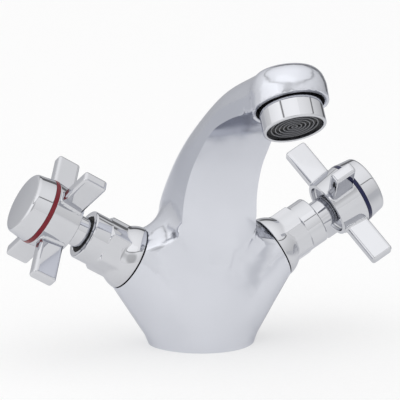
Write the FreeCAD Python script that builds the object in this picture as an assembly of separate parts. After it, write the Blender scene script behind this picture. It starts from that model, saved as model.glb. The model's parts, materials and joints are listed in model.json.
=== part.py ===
import FreeCAD, Part
import math
import os
from FreeCAD import Placement, Rotation, Vector

# A two-handle bathroom mixer for one deck hole. Sizes are in millimetres.
# The origin is the middle of the base on the deck. The spout points to -Y, +Z is up,
# and the hot valve lies on the -X side.

# Base and deck fixing
base_r = 25.0
stud_r = 4.0
stud_depth = 14.0
stud_offset = 10.5
inlet_r = 4.5
inlet_depth = 12.0
inlet_offset = 9.5
gasket_in_r = 19.0
gasket_width = 3.0
gasket_depth = 1.6

# Trunk, column and spout
trunk_depth = 25.0
column_half_width = 18.4
column_front = 23.0
column_back = 27.5
column_top = 60.0
spout_half_width = 15.7
spout_bulge = 5.0
leg_inset = 3.0
leg_shelf = 24.0
leg_drop = 16.0
leg_blend = 16.0
waterway_r = 4.0

# Head at the end of the spout
reach = 108.2
outlet_height = 113.8
outlet_tilt = 31.2
head_rim = 9.8
head_r = 16.3
head_depth = 17.4
head_tilt = 18.0
head_step = 0.3
gap_ring_width = 1.25
gap_ring_depth = 2.0

# Aerator in the head
aerator_r = 13.25
aerator_wall = 1.4
aerator_thread_r = 11.9
aerator_thread = 5.0
insert_recess = 1.0
insert_rings = 6
ring_height = 0.7
ring_width = 0.5
ring_edge = 1.75
ring_core = 1.4
insert_height = 2.5
screen_height = 0.4
washer_height = 1.8

# Valves on the two sloping branches
valve_height = 22.25
valve_slope = 30.0
branch_end = 41.9
branch_r = 15.8
joint_gap = 0.6
joint_inset = 0.5
chamber_r = 10.45
chamber_depth = 18.0

# Chrome shroud nut over each headwork
shroud_length = 25.3
flange_height = 7.5
hex_corner_r = 13.6
hex_end = 16.6
collar_r = 12.0
shroud_mouth_r = 9.2
guide_height = 2.4
guide_recess = 0.4

# Headwork parts
headwork_shank_r = 10.4
headwork_head_r = 10.9
headwork_head = 13.5
gland_r = 8.0
gland_end = 19.4
disc_r = 8.1
disc_height = 2.6
seal_height = 2.0
foot_height = 2.0
tongue_width = 3.0
tongue_height = 1.2
spindle_r = 4.5
spline_r = 3.7
oring_r = 0.75
clip_height = 0.7

# Handles
neck_r = 7.4
skirt_start = 33.5
skirt_r = 14.2
hub_r = 15.9
hub_height = 14.2
skirt_wall = 1.8
web_start = 2.8
web_height = 9.2
arm_middle = 7.2
arm_tip = 35.6
arm_thickness = 5.8
arm_width = 11.7
arm_round = 1.5
hot_arm_angle = 42.5
cold_arm_angle = 52.0
ring_band = 2.0
cap_height = 8.6
cap_top_r = 14.4
cap_wall = 2.0
cap_dome = 0.5
spigot_height = 3.0
spigot_r = 12.3
screw_r = 2.0
screw_head_r = 3.6
screw_head = 2.8

# Clearances
run_gap = 0.05
seat_gap = 0.05
sink = 10.0


# Small helpers

def closed_curve(points):
    """Smooth closed curve through points, with the same knots for the same count."""
    curve = Part.BSplineCurve()
    uniform = [float(step) for step in range(len(points) + 1)]
    curve.interpolate(Points=points, PeriodicFlag=True, Parameters=uniform)
    return curve


def open_curve(points, places):
    curve = Part.BSplineCurve()
    curve.interpolate(Points=[Vector(*p) for p in points], Parameters=places)
    return curve


def skin(sections, places):
    """Solid under one smooth skin through closed sections that share their knots.

    The places say how far along the skin each section lies.
    """
    rows = [section.getPoles() for section in sections]
    lines = [open_curve(column, places) for column in zip(*rows)]
    around, up = sections[0], lines[0]
    surface = Part.BSplineSurface()
    surface.buildFromPolesMultsKnots(
        [line.getPoles() for line in lines], around.getMultiplicities(), up.getMultiplicities(),
        around.getKnots(), up.getKnots(), True, False, around.Degree, up.Degree)
    ends = [Part.Face(Part.Wire([section.toShape()])) for section in (sections[0], sections[-1])]
    shell = Part.makeShell([surface.toShape()] + ends)
    shell.sewShape()
    solid = Part.Solid(shell)
    if solid.Volume < 0:
        solid.reverse()
    return solid


def superellipse(front, back, form, steps=36):
    """Closed curve across the body, with its widest line along the front edge line.

    It bulges in front of that line and arches to the back line behind it. The form is
    half width, bulge and squareness, where 2 is an ellipse and more is fuller.
    """
    half_width, bulge, square = form
    depth = back - front
    out = depth * (bulge / depth.Length)
    points = []
    for step in range(steps):
        turn = 2 * math.pi * step / steps + math.pi / 2
        across, deep = math.cos(turn), math.sin(turn)
        power = 2.0 / square if deep > 0 else 1.0
        x = Vector(half_width * math.copysign(abs(across) ** power, across), 0, 0)
        points.append(front + x + (depth * deep ** power if deep > 0 else out * deep))
    return closed_curve(points)


def oval(centre, half, depth, steps=36):
    """Ellipse about a point, with one half axis given and the other along Y."""
    points = []
    for step in range(steps):
        turn = 2 * math.pi * step / steps
        points.append(centre + half * math.cos(turn) + Vector(0, depth * math.sin(turn), 0))
    return closed_curve(points)


def rounded_wire(corners):
    """Closed outline in the XZ plane. A corner is x, z and, if it is rounded, a radius."""
    count = len(corners)
    ends = []
    for i, corner in enumerate(corners):
        here = Vector(corner[0], 0, corner[1])
        before = Vector(corners[i - 1][0], 0, corners[i - 1][1])
        after = Vector(corners[(i + 1) % count][0], 0, corners[(i + 1) % count][1])
        if len(corner) < 3:
            ends.append((here, None, here))
            continue
        back, on = (before - here).normalize(), (after - here).normalize()
        half = back.getAngle(on) / 2
        reach_along = corner[2] / math.tan(half)
        middle = (back + on).normalize() * (corner[2] / math.sin(half))
        top = here + middle - (back + on).normalize() * corner[2]
        ends.append((here + back * reach_along, top, here + on * reach_along))
    edges = []
    for i, (start, top, end) in enumerate(ends):
        if top is not None:
            edges.append(Part.Arc(start, top, end).toShape())
        following = ends[(i + 1) % count][0]
        if (following - end).Length > 1e-6:
            edges.append(Part.makeLine(end, following))
    return Part.Wire(edges)


def turned(corners):
    """Solid turned about Z from an outline of radius and height."""
    return Part.Face(rounded_wire(corners)).revolve(Vector(0, 0, 0), Vector(0, 0, 1), 360)


def rod(radius, start, end):
    return Part.makeCylinder(radius, end - start, Vector(0, 0, start))


def ring(inner, outer, start, end):
    return rod(outer, start, end).cut(rod(inner, start - 1, end + 1))


def prism(corner_r, sides, start, end):
    points = []
    for i in range(sides + 1):
        turn = 2 * math.pi * i / sides
        points.append(Vector(corner_r * math.cos(turn), corner_r * math.sin(turn), start))
    return Part.Face(Part.makePolygon(points)).extrude(Vector(0, 0, end - start))


def bore(radius, start, end):
    """Round waterway between two points, with round ends."""
    along = end - start
    drill = Part.makeCylinder(radius, along.Length, start, along)
    return drill.fuse([Part.makeSphere(radius, start), Part.makeSphere(radius, end)])


def mirrored(shape):
    return shape.mirror(Vector(0, 0, 0), Vector(1, 0, 0))


def placed(shape, placement):
    moved = shape.copy()
    moved.Placement = placement.multiply(moved.Placement)
    return moved


# Places of the valves and of the outlet

def valve_frame(distance, side):
    """Placement on a valve axis, with local Z pointing outwards along the axis."""
    slope = math.radians(valve_slope)
    place = Vector(side * math.cos(slope), 0, math.sin(slope)) * distance
    turn = Rotation(Vector(0, 1, 0), side * (90 - valve_slope))
    return Placement(place + Vector(0, 0, valve_height), turn)


def tilted(angle):
    return Vector(0, math.sin(math.radians(angle)), math.cos(math.radians(angle)))


outlet = Vector(0, -reach, outlet_height)
outlet_frame = Placement(outlet, Rotation(Vector(1, 0, 0), -outlet_tilt))
rim = outlet + tilted(outlet_tilt) * head_rim
nose_axis = tilted(head_tilt)
nose = rim + nose_axis * head_depth
behind_head = Vector(0, nose_axis.z, -nose_axis.y)
shroud_foot = branch_end + joint_gap
shroud_end = shroud_foot + shroud_length
seat = branch_end - chamber_depth


# Body casting

def stations():
    """Front edge line, back line and form at places from under the deck to the head."""
    near_rim, near_nose = rim + behind_head * 5, nose + behind_head * 5
    width, bulge = spout_half_width, spout_bulge
    front = -column_front
    return [
        (0, -sink, trunk_depth, -sink, base_r + 0.6, base_r + 0.4, 2.0),
        (0, 0, trunk_depth, 0, base_r, base_r, 2.0),
        (-3.5, 15, trunk_depth + 0.3, 15, base_r - 2.5, base_r - 3.2, 2.0),
        (-9, 33, trunk_depth + 0.8, 33, 18.5, 16.4, 2.1),
        (-16.5, 48, column_back - 0.5, 48, 17.6, 9.5, 2.6),
        (front, column_top, column_back, column_top, column_half_width, bulge, 3.6),
        (-24.6, 70, 20.5, 74.5, 18.2, bulge, 3.2),
        (-28, 80, 7.5, 88, 17.7, bulge, 3.0),
        (-34.5, 90, -8.5, 101.5, 17.1, bulge, 2.7),
        (-43.5, 99, -25.2, 112.3, 16.5, bulge, 2.5),
        (-54, 107.5, -42.3, 120.7, width, bulge, 2.7),
        (-66, 112.5, -58.3, 127.1, width, bulge, 3.0),
        (-80, 116.5, -74.5, 132.0, width, bulge, 3.2),
        (near_rim.y, near_rim.z, near_nose.y, near_nose.z, width, bulge, 3.3),
        (rim.y, rim.z, nose.y, nose.z, width, bulge, 3.4),
    ]


def body_lines():
    """Curves of the front edge line, the back line and the form, and their length."""
    keys = stations()
    fronts = [Vector(0, key[0], key[1]) for key in keys]
    backs = [Vector(0, key[2], key[3]) for key in keys]
    places = [0.0]
    for i in range(1, len(keys)):
        step = (fronts[i] - fronts[i - 1]).Length + (backs[i] - backs[i - 1]).Length
        places.append(places[-1] + step / 2)
    forms = [Vector(*key[4:]) for key in keys]
    return [open_curve(values, places) for values in (fronts, backs, forms)] + [places]


def section_places(length, count=40):
    """Places of the sections: even up to the head, and closer where the head's circle leaves the sides."""
    leave = math.sqrt(head_r ** 2 - spout_half_width ** 2)
    even = [(length - 1.8 * leave) * i / (count - 1) for i in range(count)]
    return even + [length - leave * share for share in (1.35, 1.12, 1.0, 0.86, 0.68, 0.46, 0.22, 0)]


def body_sections():
    """Sections from under the base up the column and along the spout, and their places.

    Near its axis the head is a circle that stands a little proud of the spout's sides.
    """
    front_line, back_line, forms, ends = body_lines()
    places = section_places(ends[-1])
    sections = []
    for place in places:
        front, form = front_line.value(place), forms.value(place)
        circle = math.sqrt(max(head_r ** 2 - (front - rim).dot(behind_head) ** 2, 0))
        form.x = max(form.x, circle)
        sections.append(superellipse(front, back_line.value(place), form))
    return sections, places


def round_nose(section):
    """The head's front, which is half of the last section turned about the head's axis."""
    half = Part.Face(Part.Wire([section.toShape()]))
    half = half.common(Part.makeBox(100, 400, 400, Vector(0, -300, -100)))
    return half.revolve(rim, nose_axis, -180)


def leg(steps=12):
    """Flared leg from under the base to the round end of one branch.

    Its lower line is straight from the base edge to the branch end. Its upper line
    rises inside the trunk and comes out level to the top of the branch end.
    """
    end = valve_frame(branch_end, 1)
    low_end = end.multVec(Vector(branch_r, 0, 0))
    high_end = end.multVec(Vector(-branch_r, 0, 0))
    start = sink - 0.6
    low_start = Vector(base_r - start * (low_end.x - base_r) / low_end.z, 0, -start)
    high_start = Vector(-low_start.x, 0, -start)
    bend = high_end + Vector(-leg_shelf, 0, -leg_drop)
    sections = []
    for step in range(steps + 1):
        t = step / steps
        low = low_start * (1 - t) + low_end * t
        high = high_start * (1 - t) ** 2 + bend * (2 * t * (1 - t)) + high_end * t ** 2
        depth = (base_r - leg_inset) * (1 - t) + branch_r * t
        sections.append(oval((low + high) / 2, (high - low) / 2, depth))
    return skin(sections, [float(step) for step in range(steps + 1)])


def front_cut():
    """Block that cuts the flat front of the column and underside of the spout."""
    front_line, back_line, forms, places = body_lines()
    points = []
    for forward, height in ((3.6, 0.27), (2.5, 0.6), (1.3, 0.82)):
        points.append(Vector(0, -column_front - forward, column_top * height))
    first = [key[1] for key in stations()].index(column_top)
    for i in range(25):
        points.append(front_line.value(places[first] + (places[-1] - places[first]) * i / 24))
    line = Part.BSplineCurve()
    line.interpolate(points)
    below_outlet = outlet_frame.multVec(Vector(0, 0, -reach / 2))
    far = [rim, below_outlet, points[0] - Vector(0, column_back, 0), points[0]]
    outline = Part.Wire([line.toShape()] + [Part.makeLine(a, b) for a, b in zip(far, far[1:])])
    block = Part.Face(outline).extrude(Vector(120, 0, 0))
    block.translate(Vector(-60, 0, 0))
    return block


def between_skins(shape):
    """Edges where two different smooth skins meet, which are the roots of the legs."""
    found = []
    for edge in shape.Edges:
        faces = shape.ancestorsOfType(edge, Part.Face)
        smooth = all(isinstance(face.Surface, Part.BSplineSurface) for face in faces)
        if smooth and len(faces) == 2 and not faces[0].isSame(faces[1]):
            found.append(edge)
    return found


def outer_form():
    """Casting with its legs blended in, its flat front and its head, but no holes."""
    sections, places = body_sections()
    right = leg()
    shape = skin(sections, places).fuse(right).fuse(mirrored(right))
    shape = shape.makeFillet(leg_blend, between_skins(shape))
    shape = shape.fuse(round_nose(sections[-1]))
    wide = 4 * head_r
    under_head = Part.makeBox(wide, wide / 2, wide, Vector(-wide / 2, -wide / 2, head_rim - wide))
    shape = shape.cut(front_cut())
    shape = shape.cut(placed(under_head, outlet_frame))
    shape = shape.fuse(placed(rod(head_r - head_step, head_rim, head_rim + 6), outlet_frame))
    below = 8 * base_r
    return shape.cut(Part.makeBox(below, below, below, Vector(-below / 2, -below / 2, -below)))


def spout_waterway(start, end):
    """Curved channel up the middle of the column and along the spout."""
    front_line, back_line, forms, places = body_lines()
    first = [key[1] for key in stations()].index(column_top)
    middles = [start]
    for place in places[first + 1:-2]:
        middles.append((front_line.value(place) + back_line.value(place)) / 2)
    middles.append(end)
    path = Part.BSplineCurve()
    path.interpolate(middles)
    mouth = Part.makeCircle(waterway_r, start, path.tangent(path.FirstParameter)[0])
    return Part.Wire([path.toShape()]).makePipe(Part.Face(Part.Wire([mouth])))


def body_holes():
    """Everything that is bored into the casting."""
    mix = Vector(0, -2, column_top - 16)
    socket_top = head_rim + gap_ring_depth + aerator_thread + washer_height
    gap_ring = rod(aerator_r + gap_ring_width, head_rim - 1, head_rim + gap_ring_depth)
    socket = rod(aerator_thread_r + seat_gap, head_rim, socket_top)
    holes = [placed(gap_ring, outlet_frame), placed(socket, outlet_frame)]
    holes.append(spout_waterway(mix, outlet_frame.multVec(Vector(0, 0, socket_top - 1))))
    holes.append(ring(gasket_in_r, gasket_in_r + gasket_width, -1, gasket_depth))
    for side in (-1, 1):
        holes.append(placed(rod(chamber_r, seat, branch_end + 1), valve_frame(0, side)))
        under_seat = valve_frame(seat - 1, side).Base
        inlet_top = Vector(side * inlet_offset, 0, inlet_depth)
        holes.append(Part.makeCylinder(inlet_r, inlet_depth + 1, inlet_top, Vector(0, 0, -1)))
        holes.append(bore(inlet_r - 1, inlet_top - Vector(0, 0, 2), under_seat))
        holes.append(bore(waterway_r - 0.5, mix, valve_frame(seat + chamber_depth / 2, side).Base))
        holes.append(Part.makeCylinder(stud_r, stud_depth + 1, Vector(0, side * stud_offset, -1)))
    return holes


def body():
    return outer_form().cut(body_holes())


def base_gasket():
    return ring(gasket_in_r, gasket_in_r + gasket_width, 0, gasket_depth)


# Aerator, drawn along the outlet axis upwards from the outlet

insert_r = aerator_r - aerator_wall
insert_top = insert_recess + ring_height + insert_height
thread_bore_r = aerator_thread_r - aerator_wall
housing_shoulder = head_rim + gap_ring_depth
housing_top = housing_shoulder + aerator_thread


def aerator_housing():
    return turned([
        (insert_r, 0, 0.3), (insert_r, insert_top), (thread_bore_r, insert_top),
        (thread_bore_r, housing_top), (aerator_thread_r, housing_top, 0.4),
        (aerator_thread_r, housing_shoulder), (aerator_r, housing_shoulder, 0.3), (aerator_r, 0, 0.6)])


def aerator_insert():
    """Plastic insert whose lower face has thin rings one inside the other."""
    outer = insert_r - seat_gap
    shape = rod(outer, insert_recess + ring_height, insert_top)
    pitch = (outer - ring_edge - ring_core) / (insert_rings - 1)
    for number in range(insert_rings):
        radius = outer - ring_edge - number * pitch
        shape = shape.fuse(ring(radius - ring_width, radius, insert_recess, insert_top))
    return shape.fuse(rod(ring_width, insert_recess, insert_top)).removeSplitter()


def aerator_screen():
    return rod(thread_bore_r - seat_gap, insert_top, insert_top + screen_height)


def aerator_washer():
    return ring(thread_bore_r - 1, aerator_thread_r, housing_top, housing_top + washer_height)


# Valve pieces, drawn along the valve axis outwards from where the two axes cross

fixed_disc_start = seat + seal_height
turning_disc_start = fixed_disc_start + disc_height + run_gap
foot_start = turning_disc_start + disc_height
foot_end = foot_start + foot_height
headwork_end = shroud_foot + gland_end
clip_start = headwork_end + run_gap
clip_end = clip_start + clip_height
guide_seat = shroud_end - guide_height - guide_recess
hub_start = shroud_foot + skirt_start
hub_end = hub_start + hub_height
web_low = hub_start + web_start
web_high = web_low + web_height
ring_end = hub_end + ring_band
cap_end = ring_end + cap_height
spindle_bore_r = spindle_r + run_gap
neck_bore_r = spindle_r + 2 * seat_gap


def joint_gasket():
    return ring(headwork_shank_r + 0.2, branch_r - joint_inset, branch_end, shroud_foot)


def shroud_nut():
    """Chrome nut with a round flange, a hexagon and a collar round the handle's neck."""
    flat_r = hex_corner_r * math.cos(math.pi / 6)
    flange_end = shroud_foot + flange_height
    flange = turned([
        (0, shroud_foot), (branch_r, shroud_foot, 0.3), (branch_r - 0.4, shroud_foot + 3.2, 2.5),
        (flat_r, flange_end + 1), (0, flange_end + 1)])
    hexagon = prism(hex_corner_r, 6, shroud_foot + 1, shroud_foot + hex_end)
    chamfer = turned([
        (0, shroud_foot), (hex_corner_r + 1, shroud_foot), (hex_corner_r + 1, shroud_foot + hex_end - 1.6),
        (collar_r, shroud_foot + hex_end), (0, shroud_foot + hex_end)])
    collar = turned([(0, flange_end), (collar_r, flange_end), (collar_r, shroud_end, 0.9), (0, shroud_end)])
    shape = flange.fuse([hexagon.common(chamfer), collar])
    holes = [
        rod(headwork_head_r + seat_gap, shroud_foot - 1, shroud_foot + headwork_head + 0.5),
        rod(gland_r + 1.2, shroud_foot, guide_seat - 1), rod(shroud_mouth_r - 0.6, shroud_foot, guide_seat),
        rod(shroud_mouth_r, guide_seat, shroud_end + 1)]
    return shape.cut(holes[0].fuse(holes[1:])).removeSplitter()


def guide_ring():
    return ring(neck_r + run_gap, shroud_mouth_r - seat_gap, guide_seat, guide_seat + guide_height)


def headwork():
    """Brass headwork that holds the discs at its foot and carries the spindle."""
    head_end = shroud_foot + headwork_head
    shape = turned([
        (spindle_bore_r, seat + 0.6), (headwork_shank_r, seat + 0.6, 0.4), (headwork_shank_r, shroud_foot),
        (headwork_head_r, shroud_foot), (headwork_head_r, head_end, 0.5), (gland_r, head_end),
        (gland_r, headwork_end, 0.5), (spindle_bore_r, headwork_end)])
    shape = shape.cut(rod(disc_r + run_gap, seat, foot_end + run_gap))
    window = Part.makeBox(3 * headwork_shank_r, disc_r, disc_height)
    window.translate(Vector(-1.5 * headwork_shank_r, -disc_r / 2, turning_disc_start))
    return shape.cut(window)


def seat_seal():
    return ring(inlet_r, disc_r, seat, fixed_disc_start)


def fixed_disc():
    shape = rod(disc_r, fixed_disc_start, fixed_disc_start + disc_height)
    for side in (-1, 1):
        port = rod(disc_r / 4, fixed_disc_start - 1, foot_start)
        port.translate(Vector(side * disc_r / 2, 0, 0))
        shape = shape.cut(port)
    return shape


def tongue(width):
    """Bar across the spindle's foot that turns the disc below it."""
    bar = Part.makeBox(1.4 * disc_r, width, tongue_height)
    bar.translate(Vector(-0.7 * disc_r, -width / 2, foot_start - tongue_height))
    return bar


def turning_disc():
    shape = rod(disc_r, turning_disc_start, foot_start)
    for side in (-1, 1):
        port = rod(disc_r / 4, turning_disc_start - 1, foot_start + 1)
        port.translate(Vector(0, side * disc_r * 0.6, 0))
        shape = shape.cut(port)
    return shape.cut(tongue(tongue_width))


def oring_places():
    return [shroud_foot + 4.0, shroud_foot + 9.0]


def spindle():
    """Brass spindle with a foot for the turning disc and splines for the handle."""
    shape = rod(disc_r - 0.5, foot_start, foot_end).fuse(tongue(tongue_width - 2 * seat_gap))
    shape = shape.fuse(rod(spindle_r, foot_start, clip_end + 2))
    teeth = []
    for i in range(41):
        turn = 2 * math.pi * i / 40
        radius = spline_r - 0.3 * (i % 2)
        teeth.append(Vector(radius * math.cos(turn), radius * math.sin(turn), clip_end))
    shape = shape.fuse(Part.Face(Part.makePolygon(teeth)).extrude(Vector(0, 0, web_high - 0.4 - clip_end)))
    for place in oring_places():
        groove = oring_r + 2 * seat_gap
        shape = shape.cut(ring(spindle_r - 2 * oring_r, spindle_r + 1, place - groove, place + groove))
    shape = shape.cut(ring(spindle_r - 0.6, spindle_r + 1, clip_start - 0.02, clip_end + 0.02))
    return shape.cut(rod(screw_r, web_high - 14, web_high + 1))


def spindle_orings():
    rings = []
    for place in oring_places():
        rings.append(Part.makeTorus(spindle_r - oring_r, oring_r - 0.01, Vector(0, 0, place)))
    return Part.makeCompound(rings)


def spindle_clip():
    shape = ring(spindle_r - 0.55, gland_r - 1.5, clip_start, clip_end)
    slot = Part.makeBox(gland_r, spindle_r, 4)
    slot.translate(Vector(0, -spindle_r / 2, clip_start - 1))
    return shape.cut(slot)


def handle_neck():
    return ring(neck_bore_r, neck_r, clip_end + 0.3, web_low)


def handle_cross(angle):
    """Hub with a hollow skirt below, a web across it and four flat arms."""
    inner = skirt_r - skirt_wall
    hub = turned([
        (inner, hub_start), (skirt_r, hub_start, 0.5), (hub_r, hub_end), (spigot_r, hub_end),
        (spigot_r, hub_end + spigot_height), (screw_head_r + 2, hub_end + spigot_height),
        (screw_head_r + 2, web_high), (spline_r + seat_gap, web_high), (spline_r + seat_gap, web_low),
        (inner + 0.4, web_low, 1.0)])
    middle = hub_start + arm_middle
    arm = Part.makeBox(arm_tip - inner - 0.6, arm_thickness, arm_width)
    arm.translate(Vector(inner + 0.6, -arm_thickness / 2, middle - arm_width / 2))
    rounded = [edge for edge in arm.Edges if edge.BoundBox.XMax > inner + 1]
    arm = arm.makeFillet(arm_round, rounded)
    arms = []
    for quarter in range(4):
        turned_arm = arm.copy()
        turned_arm.rotate(Vector(0, 0, 0), Vector(0, 0, 1), angle + 90 * quarter)
        arms.append(turned_arm)
    return hub.fuse(arms)


def index_ring():
    return ring(spigot_r + seat_gap, hub_r, hub_end, ring_end)


def end_cap():
    """Chrome cap with a plain, slightly domed face."""
    inner = spigot_r + seat_gap
    blank = turned([
        (inner, ring_end), (hub_r - 0.2, ring_end, 0.3), (cap_top_r, cap_end + cap_dome, 1.8),
        (0, cap_end + cap_dome),
        (0, cap_end - cap_wall), (inner, cap_end - cap_wall, 1.0)])
    sphere_r = (cap_top_r ** 2 + cap_dome ** 2) / (2 * cap_dome)
    return blank.common(Part.makeSphere(sphere_r, Vector(0, 0, cap_end + cap_dome - sphere_r)))


def handle_screw():
    shank = rod(screw_r - seat_gap, web_high - 12, web_high + 1)
    shape = rod(screw_head_r, web_high, web_high + screw_head).fuse(shank)
    for turn in (0, 90):
        slot = Part.makeBox(1.2 * screw_head_r, 0.9, 3)
        slot.translate(Vector(-0.6 * screw_head_r, -0.45, web_high + screw_head - 1.2))
        slot.rotate(Vector(0, 0, 0), Vector(0, 0, 1), turn)
        shape = shape.cut(slot)
    return shape


# Writing out every piece

def write(name, shape, placement=Placement()):
    placed(shape, placement).exportStep("parts/" + name + ".step")


os.makedirs("parts", exist_ok=True)
write("body", body())
write("base_gasket", base_gasket())
write("aerator_housing", aerator_housing(), outlet_frame)
write("aerator_insert", aerator_insert(), outlet_frame)
write("aerator_screen", aerator_screen(), outlet_frame)
write("aerator_washer", aerator_washer(), outlet_frame)
pieces = {
    "joint_gasket": joint_gasket, "shroud_nut": shroud_nut, "guide_ring": guide_ring, "headwork": headwork,
    "seat_seal": seat_seal, "fixed_disc": fixed_disc, "turning_disc": turning_disc, "spindle": spindle,
    "spindle_orings": spindle_orings, "spindle_clip": spindle_clip, "handle_neck": handle_neck,
    "index_ring": index_ring, "end_cap": end_cap, "handle_screw": handle_screw}
for name, side, angle in (("hot", -1, hot_arm_angle), ("cold", 1, cold_arm_angle)):
    for piece, make in pieces.items():
        write(name + "_" + piece, make(), valve_frame(0, side))
    write(name + "_handle_cross", handle_cross(angle), valve_frame(0, side))
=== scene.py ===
# %% [markdown]
# # A chrome basin mixer
# The mixer is a brass casting with an arched spout, two sloping valves and two cross handles. The measured
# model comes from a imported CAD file, and this lesson dresses it: smooth turned and cast surfaces, real
# finishes, and a studio round it. Everything is in one frame, with the spout towards -Y and the hot valve on
# the -X side.

# %% Load the frame
import json
import math

import bmesh
import bpy
import numpy as np
from mathutils import Matrix


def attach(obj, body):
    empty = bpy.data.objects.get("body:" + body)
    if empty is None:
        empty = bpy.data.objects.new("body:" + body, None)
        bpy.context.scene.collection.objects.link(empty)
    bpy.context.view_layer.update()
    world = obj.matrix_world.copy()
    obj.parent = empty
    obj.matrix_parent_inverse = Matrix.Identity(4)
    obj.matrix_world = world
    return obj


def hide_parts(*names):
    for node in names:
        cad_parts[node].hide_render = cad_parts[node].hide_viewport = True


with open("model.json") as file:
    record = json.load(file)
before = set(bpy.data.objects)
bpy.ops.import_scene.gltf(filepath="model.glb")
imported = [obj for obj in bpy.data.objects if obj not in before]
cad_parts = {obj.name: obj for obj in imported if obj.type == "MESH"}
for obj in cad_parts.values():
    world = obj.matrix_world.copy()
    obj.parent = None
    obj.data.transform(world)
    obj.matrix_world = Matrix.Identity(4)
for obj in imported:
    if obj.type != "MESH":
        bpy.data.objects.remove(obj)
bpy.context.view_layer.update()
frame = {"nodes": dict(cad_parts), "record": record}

nodes = frame["nodes"]
MM = 0.001

# %% [markdown]
# ## Camera
# The camera stands where the photographer stood: 21 degrees to the left of the spout and 9 degrees up. A long
# lens from three quarters of a metre away keeps the lines of the casting nearly parallel. Its place could be
# found by eye, but here it was worked out from the edges of the base, the nuts and the handles.

# %% Camera
AZIMUTH, ELEVATION = math.radians(-20.751), math.radians(8.8)
TARGET = np.array([-0.695, 0.0, 68.859]) * MM
DISTANCE = 757.934 * MM
FOCAL_PIXELS, IMAGE_PIXELS, SENSOR = 1590.936, 400, 36.0
NEAREST = 50 * MM

back = np.array([math.sin(AZIMUTH) * math.cos(ELEVATION), -math.cos(AZIMUTH) * math.cos(ELEVATION),
                 math.sin(ELEVATION)])
right = np.array([math.cos(AZIMUTH), math.sin(AZIMUTH), 0.0])
up = np.cross(back, right)
lens = bpy.data.cameras.new("studio_camera")
lens.sensor_width = SENSOR
lens.lens = FOCAL_PIXELS * SENSOR / IMAGE_PIXELS
lens.clip_start = NEAREST
camera = bpy.data.objects.new("studio_camera", lens)
bpy.context.scene.collection.objects.link(camera)
place = np.eye(4)
place[:3, :3] = np.stack([right, up, back], 1)
place[:3, 3] = TARGET + back * DISTANCE
camera.matrix_world = Matrix(place.tolist())
bpy.context.scene.camera = camera
print("camera at", np.round(place[:3, 3], 3), "lens", round(lens.lens, 2), "mm")

# %% [markdown]
# ## Material helpers
# A finish is a small network of nodes. One function adds a node: settings go on the node, plain values go on
# its sockets, and a socket given as a value becomes a link. Colours are written as sRGB hex values, as a
# painter would read them off a chart, and turned to linear light once.

# %% Material helpers
def linear(text):
    """sRGB hex to linear RGBA: the standard curve, a straight toe below 0.04045 and a 2.4 power above it."""
    value = np.array([int(text[i:i + 2], 16) for i in (1, 3, 5)]) / 255
    light = np.where(value <= 0.04045, value / 12.92, ((value + 0.055) / 1.055) ** 2.4)
    return (*light.tolist(), 1.0)


def add(tree, kind, inputs=None, **settings):
    """Adds one node, sets its settings, and sets or links its inputs."""
    node = tree.nodes.new(kind)
    for key, value in settings.items():
        setattr(node, key, value)
    for key, value in (inputs or {}).items():
        if isinstance(value, bpy.types.NodeSocket):
            tree.links.new(value, node.inputs[key])
        else:
            node.inputs[key].default_value = value
    return node


def start_finish(name):
    """A new material with its tree, its surface shader and the object's own coordinates."""
    finish = bpy.data.materials.new(name)
    finish.use_nodes = True
    tree = finish.node_tree
    tree.nodes.clear()
    surface = add(tree, "ShaderNodeBsdfPrincipled")
    add(tree, "ShaderNodeOutputMaterial", {"Surface": surface.outputs[0]})
    where = add(tree, "ShaderNodeTexCoord").outputs["Object"]
    return finish, tree, surface, where


def per_mm(size):
    """Texture scale for a pattern whose features are this many millimetres wide."""
    return 1.0 / (size * MM)


print("mid grey in linear light:", round(linear("#808080")[0], 3))

# %% [markdown]
# ## Chrome
# Bright chrome over polished brass: the plating is a thousandth of a millimetre thick, so the eye sees the
# polisher's work. It mirrors the room, with a faint haze where the mop left fine lines and a slow wave in the
# casting under it. A mirror with no faults would look like computer chrome, so the roughness changes a little
# from place to place. The specular tint, a little below white, keeps the edges grey at a glancing angle, where
# the shader would turn them white. The casting is hazier than the turned pieces.

# %% Chrome finishes
CLOUD_MM, MOP_MM, WAVE_MM, WAVE_HEIGHT_MM = 22, 3, 14, 0.3
GLANCING_TINT = "#DCDDE1"


def chrome(name, light, dark, haze, wave):
    """Metal between two tones, with roughness from haze[0] to haze[1] and a wave of the given strength."""
    finish, tree, surface, where = start_finish(name)
    cloud = add(tree, "ShaderNodeTexNoise", {"Vector": where, "Scale": per_mm(CLOUD_MM), "Detail": 2.0})
    tone = add(tree, "ShaderNodeMix", {0: cloud.outputs["Fac"], 6: linear(light), 7: linear(dark)},
               data_type="RGBA")
    mop = add(tree, "ShaderNodeTexNoise", {"Vector": where, "Scale": per_mm(MOP_MM), "Detail": 4.0})
    rough = add(tree, "ShaderNodeMapRange", {
        "Value": mop.outputs["Fac"], "From Min": 0.3, "From Max": 0.7, "To Min": haze[0], "To Max": haze[1]})
    slow = add(tree, "ShaderNodeTexNoise", {"Vector": where, "Scale": per_mm(WAVE_MM), "Detail": 1.0})
    bump = add(tree, "ShaderNodeBump", {
        "Height": slow.outputs["Fac"], "Strength": wave, "Distance": WAVE_HEIGHT_MM * MM})
    tree.links.new(tone.outputs[2], surface.inputs["Base Color"])
    tree.links.new(rough.outputs[0], surface.inputs["Roughness"])
    tree.links.new(bump.outputs[0], surface.inputs["Normal"])
    surface.inputs["Metallic"].default_value = 1.0
    surface.inputs["Specular Tint"].default_value = linear(GLANCING_TINT)
    return finish


# Plated over a mopped casting: soft, slightly blue reflections.
cast_chrome = chrome("chrome_on_polished_casting", "#DADCE3", "#D2D4DB", (0.16, 0.2), 0.05)
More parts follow.
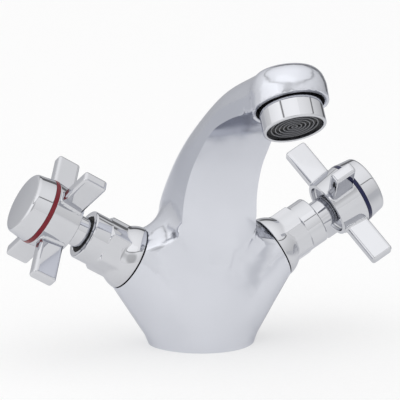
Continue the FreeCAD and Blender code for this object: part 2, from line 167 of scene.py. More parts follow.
# Plated over lathe work: crisp reflections.
turned_chrome = chrome("chrome_on_turned_brass", "#D2D3D7", "#CACBCF", (0.03, 0.06), 0.02)
print("chrome finishes:", cast_chrome.name, turned_chrome.name)

# %% [markdown]
# ## Rubber, plastics, brass and ceramic
# The small pieces are rubber rings, nylon and acetal mouldings, coloured index rings, machined brass and
# lapped alumina discs. Each has one fine pattern at its real scale: mould grain on the plastics, tool lines on
# the brass and a fine speckle on the ceramic. A picture of each surface could do the same, but a pattern in
# millimetres stays sharp from any distance.

# %% Other finishes
CLOUD_PER_GRAIN, GRAIN_STRENGTH = 8, 0.6
WAVE_FACTOR = 20  # the wave texture multiplies its coordinate by this before it takes the sine


def moulded(name, light, dark, grain, rough, bump_height, specular=0.5):
    """Plastic or rubber from a mould: two close tones, and a grain with its size and height in millimetres."""
    finish, tree, surface, where = start_finish(name)
    cloud = add(tree, "ShaderNodeTexNoise", {
        "Vector": where, "Scale": per_mm(grain * CLOUD_PER_GRAIN), "Detail": 3.0})
    tone = add(tree, "ShaderNodeMix", {0: cloud.outputs["Fac"], 6: linear(light), 7: linear(dark)},
               data_type="RGBA")
    skin = add(tree, "ShaderNodeTexNoise", {"Vector": where, "Scale": per_mm(grain), "Detail": 2.0})
    bump = add(tree, "ShaderNodeBump", {
        "Height": skin.outputs["Fac"], "Strength": GRAIN_STRENGTH, "Distance": bump_height * MM})
    gloss = add(tree, "ShaderNodeMapRange", {
        "Value": cloud.outputs["Fac"], "To Min": rough * 0.8, "To Max": rough * 1.2})
    tree.links.new(tone.outputs[2], surface.inputs["Base Color"])
    tree.links.new(gloss.outputs[0], surface.inputs["Roughness"])
    tree.links.new(bump.outputs[0], surface.inputs["Normal"])
    surface.inputs["Specular IOR Level"].default_value = specular
    return finish


def machined(name, light, dark, feed, rough):
    """Turned metal: fine tool lines at the feed given in millimetres, and two close tones."""
    finish, tree, surface, where = start_finish(name)
    lines = add(tree, "ShaderNodeTexWave", {
        "Vector": where, "Scale": per_mm(feed) / WAVE_FACTOR, "Distortion": 1.5, "Detail": 2.0},
        bands_direction="X")
    tone = add(tree, "ShaderNodeMix", {0: lines.outputs["Fac"], 6: linear(light), 7: linear(dark)},
               data_type="RGBA")
    gloss = add(tree, "ShaderNodeMapRange", {
        "Value": lines.outputs["Fac"], "To Min": rough * 0.7, "To Max": rough})
    tree.links.new(tone.outputs[2], surface.inputs["Base Color"])
    tree.links.new(gloss.outputs[0], surface.inputs["Roughness"])
    surface.inputs["Metallic"].default_value = 1.0
    return finish


# Nitrile rubber, moulded: hardly any gloss, so a seam between two chrome pieces reads as a black line.
black_rubber = moulded("moulded_black_nitrile_rubber", "#0A0A0C", "#111113", 0.4, 0.6, 0.02, 0.1)
# Nylon, moulded: black with a weak sheen.
black_nylon = moulded("moulded_black_nylon", "#070708", "#0C0C0E", 0.3, 0.45, 0.015, 0.08)
# Acetal, moulded: a slick dark grey.
dark_acetal = moulded("moulded_dark_acetal", "#101012", "#17171A", 0.3, 0.4, 0.01, 0.15)
# ABS, moulded in the colour: a thin, even line of red or navy with a soft gloss.
red_plastic = moulded("moulded_red_abs", "#7E1B28", "#6C1420", 0.5, 0.3, 0.01, 0.3)
blue_plastic = moulded("moulded_navy_abs", "#171C4A", "#111539", 0.5, 0.3, 0.01, 0.3)
# Alumina, lapped flat: a warm white with a satin shine.
alumina = moulded("lapped_alumina_ceramic", "#E6E4DC", "#DAD8CF", 0.2, 0.25, 0.004)
# Brass and stainless steel off the lathe: tool lines that break up the shine.
bare_brass = machined("machined_brass", "#C9A75F", "#B8944C", 0.15, 0.3)
steel = machined("stainless_steel", "#B9BABC", "#A4A5A8", 0.15, 0.35)

finish_of_slot = {
    "chrome_plated_brass": turned_chrome, "bare_brass": bare_brass, "black_rubber": black_rubber,
    "black_nylon": black_nylon, "dark_acetal": dark_acetal, "stainless_steel": steel, "alumina": alumina,
    "red_plastic": red_plastic, "blue_plastic": blue_plastic}
slot_of_node = {part["node"]: part["material_slot"] for part in frame["record"]["subparts"]}
for name, piece in nodes.items():
    piece.data.materials.clear()
    piece.data.materials.append(finish_of_slot[slot_of_node[name]])
print("finishes:", len(finish_of_slot))

# %% [markdown]
# ## Places and outlines
# A turned piece is drawn about its own axis, which is a valve's or the outlet's. Its outline is a list of
# corners, each with the small edge round that the real piece has. The rounds could come from a bevel modifier,
# but an arc in the outline has exactly the radius that is wanted.

# %% Places and outlines
VALVE_LEAN, VALVE_HEIGHT = math.radians(30.0), 22.25
OUTLET_LEAN, OUTLET = math.radians(31.2), (0.0, -108.2, 113.8)


def valve_place(side):
    """Origin and axes of one valve: the third axis leaves the body, 30 degrees up, to this side."""
    out = np.array([side * math.cos(VALVE_LEAN), 0.0, math.sin(VALVE_LEAN)])
    across = np.array([0.0, 1.0, 0.0])
    return np.array([0.0, 0.0, VALVE_HEIGHT]), np.stack([np.cross(across, out), across, out])


def outlet_place():
    """Origin and axes of the outlet: the third axis runs up into the head, leaning 31.2 degrees back."""
    out = np.array([0.0, math.sin(OUTLET_LEAN), math.cos(OUTLET_LEAN)])
    across = np.array([1.0, 0.0, 0.0])
    return np.array(OUTLET), np.stack([across, np.cross(out, across), out])


def supported(outline, near=0.2, longest=1.2):
    """The same closed outline with extra points near both ends of each straight run and along long ones."""
    out = []
    for start, end in zip(outline, np.roll(outline, -1, 0)):
        length = np.linalg.norm(end - start)
        if length > 4 * near:
            inner = np.linspace(near, length - near, max(2, int(length / longest) + 1))
            places = np.concatenate([[0.0], inner]) / length
        else:
            places = np.array([0.0])
        out.append(start + (end - start) * places[:, None])
    return np.concatenate(out)


def rounded(corners, steps=7):
    """Closed outline from corners of radius, height and rounding.

    A rounded corner becomes an arc that touches both sides: its centre lies on the bisector at rounding over
    the sine of the half angle. Long straight runs get points near their ends, so that their shading stays flat.
    """
    points = []
    count = len(corners)
    for i, (r, h, rounding) in enumerate(corners):
        here = np.array([r, h])
        before = np.array(corners[i - 1][:2]) - here
        after = np.array(corners[(i + 1) % count][:2]) - here
        before, after = before / np.linalg.norm(before), after / np.linalg.norm(after)
        if rounding == 0:
            points.append(here[None])
            continue
        half = math.acos(np.clip(before @ after, -1, 1)) / 2
        middle = (before + after) / np.linalg.norm(before + after)
        centre = here + middle * rounding / math.sin(half)
        first = (here + before * rounding / math.tan(half) - centre) / rounding
        last = (here + after * rounding / math.tan(half) - centre) / rounding
        sweep = math.pi - 2 * half
        t = np.linspace(0, 1, steps)[:, None]
        arc = (np.sin((1 - t) * sweep) * first + np.sin(t * sweep) * last) / math.sin(sweep)
        points.append(centre + arc * rounding)
    return supported(np.concatenate(points))


print("cold valve's axis:", np.round(valve_place(1)[1][2], 3), "outlet's:", np.round(outlet_place()[1][2], 3))

# %% [markdown]
# ## Surfaces from arrays
# A turned piece is an outline carried round an axis, and a cast arm is a section carried along a line. Both are
# grids of points with two parameters, so one function turns any grid into a mesh: it wraps the grid where it
# closes, merges the points that meet at a pole, and turns all faces outwards. Modelling with primitives and
# modifiers would also work, but the grid keeps every radius of the real piece and gives mirror metal an even
# mesh.

# %% Grids to meshes
TURN_STEPS = 144
DOUBLE, SLIVER = 1e-6, 1e-7


def turned_grid(outline):
    """Outline carried round the axis: x = r cos a, y = r sin a, z = height."""
    angle = np.linspace(0, 2 * math.pi, TURN_STEPS, endpoint=False)[:, None]
    r, h = outline.T
    return np.stack([r * np.cos(angle), r * np.sin(angle), h + 0 * angle], -1)


def finished_piece(name, mesh, finish, sharp):
    """Merges doubles, turns faces outwards, shades smoothly up to the sharp angle, and links the object."""
    work = bmesh.new()
    work.from_mesh(mesh)
    bmesh.ops.remove_doubles(work, verts=work.verts, dist=DOUBLE)
    bmesh.ops.dissolve_degenerate(work, edges=work.edges, dist=SLIVER)
    bmesh.ops.recalc_face_normals(work, faces=work.faces)
    work.to_mesh(mesh)
    work.free()
    mesh.shade_smooth()
    mesh.set_sharp_from_angle(angle=math.radians(sharp))
    mesh.materials.clear()
    mesh.materials.append(finish)
    piece = bpy.data.objects.new(name, mesh)
    bpy.context.scene.collection.objects.link(piece)
    return piece


def grid_piece(name, grids, place, finish, sharp=32.0):
    """One mesh from grids of points in millimetres, each (grid, wraps along rows, wraps along columns)."""
    origin, axes = place
    points, faces, offset = [], [], 0
    for grid, wrap_rows, wrap_columns in grids:
        rows, columns = grid.shape[:2]
        number = np.arange(rows * columns).reshape(rows, columns) + offset
        down, along = np.roll(number, -1, 0), np.roll(number, -1, 1)
        quads = np.stack([number, down, np.roll(down, -1, 1), along], -1)
        quads = quads if wrap_rows else quads[:-1]
        quads = quads if wrap_columns else quads[:, :-1]
        points.append((grid.reshape(-1, 3) @ axes + origin) * MM)
        faces.append(quads.reshape(-1, 4))
        offset += rows * columns
    mesh = bpy.data.meshes.new(name)
    mesh.from_pydata(np.concatenate(points).tolist(), [], np.concatenate(faces).tolist())
    return finished_piece(name, mesh, finish, sharp)


def settle(piece, body, slot, *replaced):
    """Rides the piece on its body and hides the CAD nodes it stands for. The slot is not used."""
    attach(piece, body)
    if replaced:
        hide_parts(*replaced)
    print(f"{piece.name}: {len(piece.data.polygons)} faces")
    return piece


print("points round a turned piece:", TURN_STEPS)

# %% [markdown]
# ## The cast body
# The casting is one flowing form, and its measured surface is exact, so it is taken over rather than drawn
# again. The imported surface comes as loose triangles, each face of the casting on its own. A merged copy lets the
# shading run on across the blends, and stay sharp only at the real edges. A weighted-normal modifier gives large
# faces more say in the shading than slivers, which keeps long reflections straight. The walls and ledge of the
# narrow recess round the aerator get a near-black metal: painted shade for the deep shadow in that gap, which
# reads as a black line.

# %% Cast body
CAST_SHARP = 28.0
RECESS_R, RECESS_LOW, RECESS_HIGH, RECESS_LEDGE, LEDGE_NEAR = 14.7, 9.9, 17.5, 11.8, 0.1

casting = finished_piece("cast_body", nodes["body"].data.copy(), cast_chrome, CAST_SHARP)
# The recess faces are painted near-black: painted shade for the deep shadow in the gap between the head's rim and
# the aerator ring.
recess_painted_shade = machined("recess_painted_shade_metal", "#2E2E30", "#232325", 0.3, 0.7)
casting.data.materials.append(recess_painted_shade)
origin, axes = outlet_place()
faces = casting.data.polygons
centres, normals = np.empty(3 * len(faces)), np.empty(3 * len(faces))
faces.foreach_get("center", centres)
faces.foreach_get("normal", normals)
centres = (centres.reshape(-1, 3) / MM - origin) @ axes.T
normals = normals.reshape(-1, 3) @ axes.T
depth = centres[:, 2]
within = np.hypot(centres[:, 0], centres[:, 1]) < RECESS_R
inward = (centres[:, :2] * normals[:, :2]).sum(1) < 0
wall = within & inward & (depth > RECESS_LOW) & (depth < RECESS_HIGH)
ledge = within & (np.abs(depth - RECESS_LEDGE) < LEDGE_NEAR)
recess = wall | ledge
faces.foreach_set("material_index", recess.astype(np.int32))
print("recess faces:", int(recess.sum()))
even = casting.modifiers.new("even_shading", "WEIGHTED_NORMAL")
even.keep_sharp = True
even.weight = 50
settle(casting, "mixer_body", "chrome_plated_brass", "body")

# %% [markdown]
# ## Shroud nuts
# Each valve sits under a chrome nut: a round flange against the branch, a hexagon for the spanner and a plain
# collar round the handle's neck. Three solids joined by a boolean would have hard seams, while the polished nut
# flows from one form to the next. So its outer radius is one formula of angle and height: the largest of flange,
# hexagon and collar, with a soft step between them.

# %% Shroud nuts
SHROUD_FOOT, SHROUD_LENGTH = 42.5, 25.3
FLANGE_R, HEX_FLAT_R, HEX_END, COLLAR_R, MOUTH_R = 15.8, 11.78, 16.6, 12.0, 9.2
FLANGE_BAND, FLANGE_STEP, BAND_TAPER, CONE_TAPER, CHAMFER_TAPER = 3.2, 0.4, 0.12, 0.68, 1.625
FLANGE_ROUND, COLLAR_ROUND, HEX_POWER = 0.4, 0.9, 70


def soft_max(a, b, width):
    """The larger of two values, with a parabola of the given width where they cross."""
    share = np.clip(0.5 + 0.5 * (a - b) / width, 0, 1)
    return b + (a - b) * share + width * share * (1 - share)


def soft_min(a, b, width):
    """The smaller of two values, with the same soft crossing."""
    return -soft_max(-a, -b, width)


def edge_drop(distance, radius):
    """How far a quarter round of this radius falls back at a distance from the end."""
    inside = np.clip(radius - distance, 0, radius)
    return radius - np.sqrt(radius ** 2 - inside ** 2)


def shroud_nut_grid(steps=240, rows=150):
    """Rows up the nut and columns round it.

    The hexagon's radius is flat / (sum of cos^p)^(1/p) over its six faces, which rounds its corners a little. A
    cone cuts its outer end, and soft maxima join it to the flange's cone and the collar.
    """
    angle = np.linspace(0, 2 * math.pi, steps, endpoint=False)
    height = SHROUD_LENGTH * (1 - np.cos(np.linspace(0, math.pi, rows))) / 2
    height = (0.5 * height + 0.5 * np.linspace(0, SHROUD_LENGTH, rows))[:, None]
    faces = math.pi / 6 + np.arange(6) * math.pi / 3
    towards = np.clip(np.cos(angle[None, :] - faces[:, None]), 0, 1)
    hexagon = HEX_FLAT_R / (towards ** HEX_POWER).sum(0) ** (1 / HEX_POWER)
    chamfer = COLLAR_R + CHAMFER_TAPER * (HEX_END - height)
    band = FLANGE_R - BAND_TAPER * height
    cone = FLANGE_R - FLANGE_STEP - CONE_TAPER * (height - FLANGE_BAND)
    flange = soft_min(band, cone, 1.6) - edge_drop(height, FLANGE_ROUND)
    collar = COLLAR_R - edge_drop(SHROUD_LENGTH - height, COLLAR_ROUND)
    outer = soft_max(flange, soft_min(hexagon[None, :], chamfer, 0.4), 0.7)
    outer = soft_max(outer, collar + 0 * outer, 0.35)
    outer[-1] = COLLAR_R - COLLAR_ROUND
    inner = np.array([  # the mouth, the guide ring's ledge, the gland's bore and the headwork's bore
        (MOUTH_R + 0.3, 25.3), (MOUTH_R, 25.0), (MOUTH_R, 22.5), (8.6, 22.5), (8.6, 21.5), (9.2, 21.5),
        (9.2, 14.0), (10.95, 14.0), (10.95, 0.0)])
    radius = np.concatenate([outer, inner[:, :1] + 0 * angle])
    level = np.concatenate([height, inner[:, 1:]]) + SHROUD_FOOT
    return np.stack([radius * np.cos(angle), radius * np.sin(angle), level + 0 * angle], -1)


sides = (("hot", -1, 42.5), ("cold", 1, 52.0))  # the name, the side of the body, and the arms' turn in degrees
for side, sign, turn in sides:
    nut = grid_piece(f"{side}_shroud_nut_skin", [(shroud_nut_grid(), True, True)], valve_place(sign),
                     turned_chrome)
    settle(nut, "mixer_body", "chrome_plated_brass", f"{side}_shroud_nut")

# %% [markdown]
# ## Cross handles
# A handle is a hub with a skirt and four flat arms, cast together and plated. An arm could be a bevelled box, but
# then it would meet the hub in a hard line. Here it is a rounded rectangle carried outwards: its section shrinks
# over the last millimetre and a half to round the tip, and swells where it meets the hub to make the small fillet
# that a casting has there.

# %% Cross handles
HUB_START, HUB_END, SKIRT_R, HUB_R, SPIGOT_R = 76.0, 90.2, 14.2, 15.9, 12.3
ARM_MIDDLE, ARM_TIP, ARM_HALF_THICK, ARM_HALF_WIDE, ARM_ROUND, ROOT_ROUND = 83.2, 35.6, 2.9, 5.85, 1.5, 1.0
ROOT_START, ROOT_END = 12.9, 17.5


def arm_section(per_corner=9, per_side=6):
    """Core points and outward normals round a rounded rectangle: a point is core + normal * corner radius."""
    core_x, core_y = ARM_HALF_THICK - ARM_ROUND, ARM_HALF_WIDE - ARM_ROUND
    corners = np.array([(core_x, core_y), (-core_x, core_y), (-core_x, -core_y), (core_x, -core_y)])
    turns = np.linspace(0, math.pi / 2, per_corner)
    cores, normals = [], []
    for i, corner in enumerate(corners):
        angle = turns + i * math.pi / 2
        cores.append(np.repeat(corner[None], per_corner, 0))
        normals.append(np.stack([np.cos(angle), np.sin(angle)], -1))
        share = np.linspace(0, 1, per_side + 2)[1:-1, None]
        share = share * share * (3 - 2 * share)
        cores.append(corner + (corners[(i + 1) % 4] - corner) * share)
        normals.append(np.repeat(normals[-1][-1:], per_side, 0))
    return np.concatenate(cores), np.concatenate(normals)


def arm_grid(turn):
    """One arm: the section's corner radius shrinks on a quarter circle at the tip and grows at the root."""
    core, normal = arm_section()
    tip_turn = np.linspace(0, math.pi / 2, 9)
    root = np.linspace(ROOT_START, ROOT_END, 40)
    shaft = np.linspace(ROOT_END + 0.4, ARM_TIP - ARM_ROUND - 0.2, 14)
    tip = ARM_TIP - ARM_ROUND + ARM_ROUND * np.sin(tip_turn)
    reach = np.concatenate([root, shaft, tip])[:, None]
    shrink = np.concatenate([0 * root, 0 * shaft, ARM_ROUND * (1 - np.cos(tip_turn))])[:, None]
    hub_r = SKIRT_R + (ARM_MIDDLE + core[:, 1] - HUB_START) * (HUB_R - SKIRT_R) / (HUB_END - HUB_START)
    hub_face = np.sqrt(hub_r ** 2 - (core[:, 0] + normal[:, 0] * ARM_ROUND) ** 2)
    swell = edge_drop(np.clip(reach - hub_face, 0, None), ROOT_ROUND)
    radius = (ARM_ROUND - shrink + swell)[..., None]
    section = core + normal * radius
    closing = np.stack([section[-1] * 0.9, section[-1] * 0.0])
    section = np.concatenate([section, closing])
    reach = np.concatenate([reach, reach[-1:], reach[-1:]]) + 0 * section[..., 0]
    across, along = section[..., 0], section[..., 1] + ARM_MIDDLE
    c, s = math.cos(math.radians(turn)), math.sin(math.radians(turn))
    return np.stack([reach * c - across * s, reach * s + across * c, along], -1)


hub_outline = rounded([
    (12.4, HUB_START, 0.3), (SKIRT_R, HUB_START, 0.5), (HUB_R, HUB_END, 0.25), (SPIGOT_R, HUB_END, 0),
    (SPIGOT_R, 93.2, 0.2), (5.6, 93.2, 0), (5.6, 88.0, 0), (3.75, 88.0, 0), (3.75, 78.8, 0),
    (12.8, 78.8, 1.0)])
for side, sign, turn in sides:
    grids = [(turned_grid(hub_outline), True, True)]
    grids += [(arm_grid(turn + 90 * quarter), False, True) for quarter in range(4)]
    cross = grid_piece(f"{side}_cross_handle", grids, valve_place(sign), turned_chrome)
    settle(cross, f"{side}_handle", "chrome_plated_brass", f"{side}_handle_cross")

# %% [markdown]
# ## Caps, index rings and necks
# The rest of a handle is turned: a cap with a slightly domed face, a coloured ring that says hot or cold, and
# the neck that runs into the nut. Cylinders with bevels would come close, but an outline with the real piece's
# small edge rounds, carried round the valve axis, also gives the dome.

# %% Caps, rings and necks
CAP_START, CAP_END, CAP_R, CAP_TOP_R, CAP_BORE_R, CAP_WALL = 92.2, 100.8, 15.7, 14.4, 12.35, 2.0
DOME_HEIGHT, DOME_R = 0.5, 207.6
NECK_START, NECK_END, NECK_R, NECK_BORE_R = 63.0, 78.8, 7.4, 4.6

dome = [(r, CAP_END + DOME_HEIGHT - r * r / (2 * DOME_R), 0) for r in (11.5, 9.0, 6.0, 3.0, 0.0)]
cap_outline = rounded(
    [(CAP_BORE_R, CAP_START, 0), (CAP_R, CAP_START, 0.3), (CAP_TOP_R, CAP_END, 1.8)] + dome
    + [(0.0, CAP_END - CAP_WALL, 0), (CAP_BORE_R, CAP_END - CAP_WALL, 1.0)], steps=12)
ring_outline = rounded([
    (CAP_BORE_R, HUB_END, 0), (HUB_R, HUB_END, 0.2), (HUB_R - 0.1, CAP_START, 0.2),
    (CAP_BORE_R, CAP_START, 0)])
neck_outline = rounded([
    (NECK_BORE_R, NECK_START, 0), (NECK_R, NECK_START, 0.3), (NECK_R, NECK_END, 0), (NECK_BORE_R, NECK_END, 0)])
for side, sign, turn in sides:
    ring_finish = finish_of_slot[slot_of_node[f"{side}_index_ring"]]
    for name, outline, finish in (("end_cap", cap_outline, turned_chrome),
                                  ("index_ring", ring_outline, ring_finish),
                                  ("handle_neck", neck_outline, turned_chrome)):
        node = f"{side}_{name}"
        piece = grid_piece(f"{node}_turned", [(turned_grid(outline), True, True)], valve_place(sign), finish)
        settle(piece, f"{side}_handle", slot_of_node[node], node)

# %% [markdown]
# ## Aerator
# The outlet ends in a chrome ring that screws into the head and holds a dark insert. Water leaves between thin
# rings on the insert's face. A bump in the material could hint at the rings, but they cast real shadows, so they
# are turned outlines about the outlet's axis, as the chrome ring is.

# %% Aerator
INSERT_R, INSERT_FACE, INSERT_TOP, RING_WIDTH, RING_HEIGHT, RINGS = 11.8, 1.0, 4.2, 0.5, 0.7, 6
RING_EDGE, RING_CORE = 1.75, 1.4

housing_outline = rounded([
    (11.85, 0.0, 0.3), (11.85, INSERT_TOP, 0), (10.5, INSERT_TOP, 0), (10.5, 16.8, 0), (11.9, 16.8, 0.4),
    (11.9, 11.8, 0), (13.25, 11.8, 0.3), (13.25, 0.0, 0.6)])
housing = grid_piece("aerator_ring", [(turned_grid(housing_outline), True, True)], outlet_place(),
                     turned_chrome)
settle(housing, "mixer_body", "chrome_plated_brass", "aerator_housing")

plate_face = INSERT_FACE + RING_HEIGHT
plate_outline = rounded([
    (0.0, plate_face, 0), (INSERT_R, plate_face, 0.1), (INSERT_R, INSERT_TOP, 0.1), (0.0, INSERT_TOP, 0)])
plate = grid_piece("aerator_plate", [(turned_grid(plate_outline), True, True)], outlet_place(), dark_acetal)
settle(plate, "mixer_body", "dark_acetal", "aerator_insert")

ring_grids = []
for number in range(RINGS):
    outer = INSERT_R - RING_EDGE - number * (INSERT_R - RING_EDGE - RING_CORE) / (RINGS - 1)
    ring_grids.append((turned_grid(rounded([
        (outer - RING_WIDTH, INSERT_FACE, 0.15), (outer, INSERT_FACE, 0.15), (outer, plate_face + 0.2, 0),
        (outer - RING_WIDTH, plate_face + 0.2, 0)])), True, True))
# Acetal again, painted a lighter grey on the rings: a painted highlight for the light that catches their edges
# against the plate.
acetal_rings_painted_highlight = moulded("moulded_acetal_painted_highlight", "#66676B", "#5A5B60", 0.3, 0.35, 0.01)
rings = grid_piece("aerator_rings", ring_grids, outlet_place(), acetal_rings_painted_highlight)
settle(rings, "mixer_body", "dark_acetal")

# %% [markdown]
# ## Soft boxes
# Large lamps with soft edges give metal wide, calm highlights. Two stand here at a low level: one high at the
# left of the camera, and one low on the left. Bare lamps would make small hard glints, and the room itself gives
# most of the light.

# %% Soft boxes
MIXER_MIDDLE = (0, 0, 0.07)


def soft_box(name, centre, size, power):
    """A rectangular lamp that faces the middle of the mixer."""
    lamp = bpy.data.lights.new(name, "AREA")
    lamp.shape = "RECTANGLE"
    lamp.size, lamp.size_y = size
    lamp.energy = power
    box = bpy.data.objects.new(name, lamp)
    bpy.context.scene.collection.objects.link(box)
    away = np.array(centre) - np.array(MIXER_MIDDLE)
    away = away / np.linalg.norm(away)
    side = np.cross([0.0, 0.0, 1.0], away)
    side = side / np.linalg.norm(side)
    turn = np.eye(4)
    turn[:3, :3] = np.stack([side, np.cross(away, side), away], 1)
    turn[:3, 3] = centre
    box.matrix_world = Matrix(turn.tolist())
    print(f"{name}: {power} W")


soft_box("key_box", (-0.56, -0.8, 1.0), (1.2, 0.8), 0.35)
soft_box("left_box", (-1.4, -0.1, 0.55), (1.6, 0.9), 1.0)

# %% [markdown]
# ## Room
# A chrome piece shows its room more than itself, and in an evenly white room it would all but vanish. So this
# room has some shape, as a photographer gives it with graded walls and flags: the light is stronger above and
# to the front left, the camera's side is darker, a thin dark seam runs round the room, and dark flags stand
# behind and to the right. It could be built from cards and walls, but those would stand in the way of other
# views, so it is all in the world's strength, as a function of direction. It was fitted to one photograph.
# Only the room is graded: the metal is the same under any light.

# %% Room
LIGHT_SLOPE, LIGHT_LEVEL = (-0.14, -0.12, 0.4), 0.8
DARK_SIDE, DARK_SIDE_EDGE, DARK_SIDE_LEVEL = (-0.402, -0.862, 0.309), (0.9, 0.98), 0.6
SEAM_HEIGHT, SEAM_EDGE, SEAM_LEVEL = 0.6, (0.008, 0.032), 0.25
FLAGS_TOWARDS, FLAGS_RING, FLAGS_EDGE, FLAGS_DEPTH = (0.36, 0.933, 0.0), 0.82, (0.05, 0.11), 0.75
FLAGS_RIGHT, FLAGS_START = (0.933, -0.36, 0.0), (-0.3, -0.1)

scene = bpy.context.scene
scene.view_settings.view_transform = "Standard"
world = bpy.data.worlds.new("white_room")
scene.world = world
world.use_nodes = True
room = world.node_tree
room.nodes.clear()
towards = add(room, "ShaderNodeTexCoord").outputs["Generated"]
lean = add(room, "ShaderNodeVectorMath", {0: towards, 1: LIGHT_SLOPE}, operation="DOT_PRODUCT")
level = add(room, "ShaderNodeMath", {0: lean.outputs["Value"], 1: LIGHT_LEVEL}, operation="ADD")

facing = add(room, "ShaderNodeVectorMath", {0: towards, 1: DARK_SIDE}, operation="DOT_PRODUCT")
dark_side = add(room, "ShaderNodeMapRange", {
    "Value": facing.outputs["Value"], "From Min": DARK_SIDE_EDGE[0], "From Max": DARK_SIDE_EDGE[1],
    "To Min": 1.0, "To Max": DARK_SIDE_LEVEL}, interpolation_type="SMOOTHSTEP")

height = add(room, "ShaderNodeSeparateXYZ", {"Vector": towards}).outputs["Z"]
apart = add(room, "ShaderNodeMath", {0: height, 1: SEAM_HEIGHT}, operation="SUBTRACT")
apart = add(room, "ShaderNodeMath", {0: apart.outputs[0]}, operation="ABSOLUTE")
seam = add(room, "ShaderNodeMapRange", {
    "Value": apart.outputs[0], "From Min": SEAM_EDGE[0], "From Max": SEAM_EDGE[1],
    "To Min": SEAM_LEVEL, "To Max": 1.0}, interpolation_type="SMOOTHSTEP")

beyond = add(room, "ShaderNodeVectorMath", {0: towards, 1: FLAGS_TOWARDS}, operation="DOT_PRODUCT")
off_ring = add(room, "ShaderNodeMath", {0: beyond.outputs["Value"], 1: FLAGS_RING}, operation="SUBTRACT")
off_ring = add(room, "ShaderNodeMath", {0: off_ring.outputs[0]}, operation="ABSOLUTE")
flags = add(room, "ShaderNodeMapRange", {
    "Value": off_ring.outputs[0], "From Min": FLAGS_EDGE[0], "From Max": FLAGS_EDGE[1],
    "To Min": FLAGS_DEPTH, "To Max": 0.0}, interpolation_type="SMOOTHSTEP")
rightward = add(room, "ShaderNodeVectorMath", {0: towards, 1: FLAGS_RIGHT}, operation="DOT_PRODUCT")
held = add(room, "ShaderNodeMapRange", {
    "Value": rightward.outputs["Value"], "From Min": FLAGS_START[0], "From Max": FLAGS_START[1]},
    interpolation_type="SMOOTHSTEP")
flags = add(room, "ShaderNodeMath", {0: flags.outputs[0], 1: held.outputs[0]}, operation="MULTIPLY")
flags = add(room, "ShaderNodeMath", {0: 1.0, 1: flags.outputs[0]}, operation="SUBTRACT")

strength = level.outputs[0]
for shade in (dark_side, seam, flags):
    strength = add(room, "ShaderNodeMath", {0: strength, 1: shade.outputs[0]}, operation="MULTIPLY").outputs[0]
sky = add(room, "ShaderNodeBackground", {"Color": (1, 1, 1, 1), "Strength": strength})
add(room, "ShaderNodeOutputWorld", {"Surface": sky.outputs[0]})
print("room nodes:", len(room.nodes))

# %% [markdown]
# ## Floor
# The mixer stands on matt paper. It is white in front and along the camera's line of sight, where the white
# widens into the distance, and behind and to the right of that the paper's colour fades to a pale grey: painted
# shade, the floor darker away from the light at the front left. The painted grey lies on the floor and stays there
# in every view. An evenly white floor would be simpler, but the metal mirrors the floor, and the painted shade
# keeps the spout's side apart from its front. A part of the floor's light is its own glow, in one share for the
# camera, for mirrors and for glass, so the metal shows the floor that the camera sees, and the rest of it keeps
# the mixer's soft shadow.

# %% Floor
STRIP_HALF, STRIP_SPREAD, STRIP_EDGE = 0.13, 0.14, (1.0, 2.6)
GREY_TOWARDS, GREY_START = (0.777, 0.629, 0.0), (-0.2, 0.15)
PAPER_WHITE, PAPER_FIBRE, PAINTED_SHADE_GREY, FIBRE_MM = "#FFFFFF", "#FBFBFB", "#D4D5D8", 2
FLOOR_GLOW, FLOOR_HALF = 0.45, 12.0

floor_finish, tree, surface, where = start_finish("floor_with_painted_shade")
along = add(tree, "ShaderNodeVectorMath", {0: where, 1: tuple(-back * [1, 1, 0])}, operation="DOT_PRODUCT")
across = add(tree, "ShaderNodeVectorMath", {0: where, 1: tuple(right)}, operation="DOT_PRODUCT")
aside = add(tree, "ShaderNodeMath", {0: across.outputs["Value"]}, operation="ABSOLUTE")
wide = add(tree, "ShaderNodeMath", {0: along.outputs["Value"], 1: STRIP_SPREAD, 2: STRIP_HALF},
           operation="MULTIPLY_ADD")
wide = add(tree, "ShaderNodeMath", {0: wide.outputs[0], 1: STRIP_HALF}, operation="MAXIMUM")
outside = add(tree, "ShaderNodeMath", {0: aside.outputs[0], 1: wide.outputs[0]}, operation="DIVIDE")
edge = add(tree, "ShaderNodeMapRange", {
    "Value": outside.outputs[0], "From Min": STRIP_EDGE[0], "From Max": STRIP_EDGE[1]},
    interpolation_type="SMOOTHSTEP")
bearing = add(tree, "ShaderNodeVectorMath", {0: where}, operation="NORMALIZE")
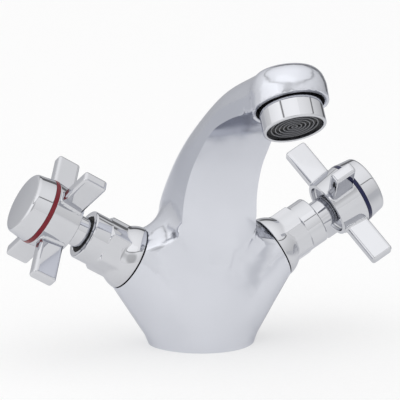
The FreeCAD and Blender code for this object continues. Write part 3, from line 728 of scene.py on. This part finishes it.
behind = add(tree, "ShaderNodeVectorMath", {0: bearing.outputs[0], 1: GREY_TOWARDS}, operation="DOT_PRODUCT")
shade = add(tree, "ShaderNodeMapRange", {
    "Value": behind.outputs["Value"], "From Min": GREY_START[0], "From Max": GREY_START[1]},
    interpolation_type="SMOOTHSTEP")
# Painted shade: the paper turns grey outside the widening white strip, behind and to the right.
painted_shade_mask = add(tree, "ShaderNodeMath", {0: edge.outputs[0], 1: shade.outputs[0]}, operation="MULTIPLY")
fibre = add(tree, "ShaderNodeTexNoise", {"Vector": where, "Scale": per_mm(FIBRE_MM), "Detail": 3.0})
white = add(tree, "ShaderNodeMix", {
    0: fibre.outputs["Fac"], 6: linear(PAPER_WHITE), 7: linear(PAPER_FIBRE)}, data_type="RGBA")
paper_with_painted_shade = add(tree, "ShaderNodeMix", {
    0: painted_shade_mask.outputs[0], 6: white.outputs[2], 7: linear(PAINTED_SHADE_GREY)}, data_type="RGBA")
tree.links.new(paper_with_painted_shade.outputs[2], surface.inputs["Base Color"])
surface.inputs["Roughness"].default_value = 0.9
path = add(tree, "ShaderNodeLightPath").outputs
seen = add(tree, "ShaderNodeMath", {0: path["Is Camera Ray"], 1: path["Is Glossy Ray"]}, operation="MAXIMUM")
seen = add(tree, "ShaderNodeMath", {0: seen.outputs[0], 1: path["Is Transmission Ray"]}, operation="MAXIMUM")
share = add(tree, "ShaderNodeMath", {0: seen.outputs[0], 1: FLOOR_GLOW}, operation="MULTIPLY")
glow = add(tree, "ShaderNodeEmission", {"Color": paper_with_painted_shade.outputs[2], "Strength": 1.0})
mixed = add(tree, "ShaderNodeMixShader", {0: share.outputs[0], 1: surface.outputs[0], 2: glow.outputs[0]})
output = next(node for node in tree.nodes if node.type == "OUTPUT_MATERIAL")
tree.links.new(mixed.outputs[0], output.inputs["Surface"])

floor_mesh = bpy.data.meshes.new("floor")
floor_corners = np.array([(-1, -1, 0), (1, -1, 0), (1, 1, 0), (-1, 1, 0)]) * FLOOR_HALF
floor_mesh.from_pydata(floor_corners.tolist(), [], [(0, 1, 2, 3)])
floor_mesh.materials.append(floor_finish)
floor = bpy.data.objects.new("floor", floor_mesh)
scene.collection.objects.link(floor)
print("floor:", 2 * FLOOR_HALF, "m square")
